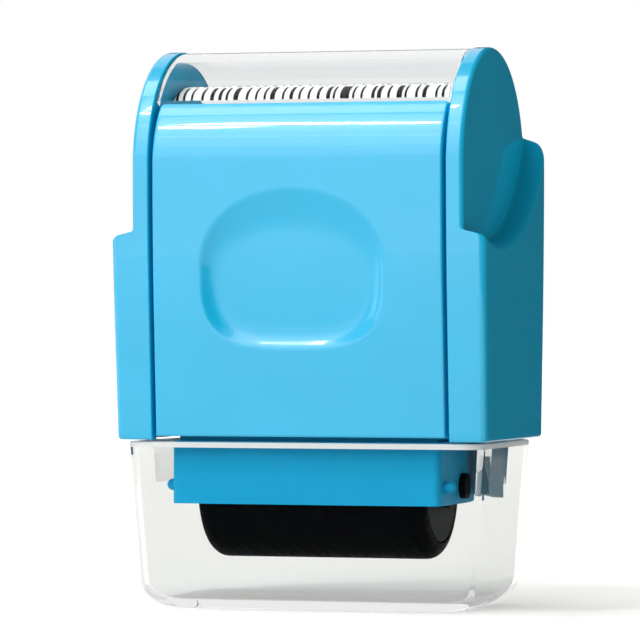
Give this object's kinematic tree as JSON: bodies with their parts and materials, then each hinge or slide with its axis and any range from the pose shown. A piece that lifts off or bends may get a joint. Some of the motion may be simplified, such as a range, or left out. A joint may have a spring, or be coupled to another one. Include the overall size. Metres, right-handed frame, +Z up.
{
  "type": "privacy roller stamp",
  "caption": "Hand-held ink roller stamp with a blue two-cheek housing, a clear arched window, a rubber pattern roller in a pull-out cartridge and a clear cap it stands on.",
  "frame": {"origin": "middle of the cap's bottom, under the centre of the bounding box", "axes": "+X across the stamp to the right as seen from the front, -Y out of the front cover with the thumb recess, +Z up from the cap to the ears"},
  "size_m": [0.062, 0.038, 0.09],
  "materials": {
    "blue": "glossy injection moulded plastic",
    "inner_blue": "moulded plastic, less polished",
    "clear": "clear moulded plastic, polished",
    "white_carrier": "matt moulding",
    "printed_strip": "printed film, satin",
    "steel": "plain steel",
    "dark_plastic": "satin moulding",
    "black_rubber": "inked rubber, slight sheen",
    "ink_felt": "ink-soaked felt"
  },
  "bodies": {
    "cap": {"cap": "clear"},
    "housing": {"left_cheek": "blue", "right_cheek": "blue", "front_cover": "blue", "rear_cover": "blue", "top_window": "clear", "pattern_saddle": "white_carrier", "pattern_strip": "printed_strip", "chassis": "inner_blue", "right_front_screw": "steel", "left_front_screw": "steel", "right_rear_screw": "steel", "left_rear_screw": "steel", "right_detent_spring": "steel", "left_detent_spring": "steel", "right_detent_rivet": "steel", "left_detent_rivet": "steel"},
    "cartridge": {"yoke": "blue", "cartridge_lid": "inner_blue", "front_lid_screw": "steel", "rear_lid_screw": "steel", "left_ink_block": "dark_plastic", "right_ink_block": "dark_plastic", "left_ink_spring": "steel", "right_ink_spring": "steel"},
    "print_roller": {"print_roller_axle": "dark_plastic", "print_roller_core": "dark_plastic", "rubber_sleeve": "black_rubber", "left_thrust_washer": "dark_plastic", "right_thrust_washer": "dark_plastic"},
    "ink_roller": {"ink_roller_axle": "steel", "ink_roller_core": "dark_plastic", "felt_sleeve": "ink_felt"}
  },
  "joints": [
    {"name": "housing_lift", "type": "slide", "parent": "cap", "child": "housing", "axis": [0, 0, 1], "range_m": [0, 0.04]},
    {"name": "cartridge_slide", "type": "slide", "parent": "housing", "child": "cartridge", "axis": [0, 0, -1], "range_m": [0, 0.004]},
    {"name": "print_roller_spin", "type": "hinge", "parent": "cartridge", "child": "print_roller", "pos_m": [0, -0.0009, 0.0198], "axis": [1, 0, 0], "continuous": true},
    {"name": "ink_roller_spin", "type": "hinge", "parent": "cartridge", "child": "ink_roller", "pos_m": [0, -0.0009, 0.03975], "axis": [1, 0, 0], "continuous": true}
  ],
  "couplings": [
    {"joint": "ink_roller_spin", "follows": "print_roller_spin", "ratio": -1.475}
  ]
}
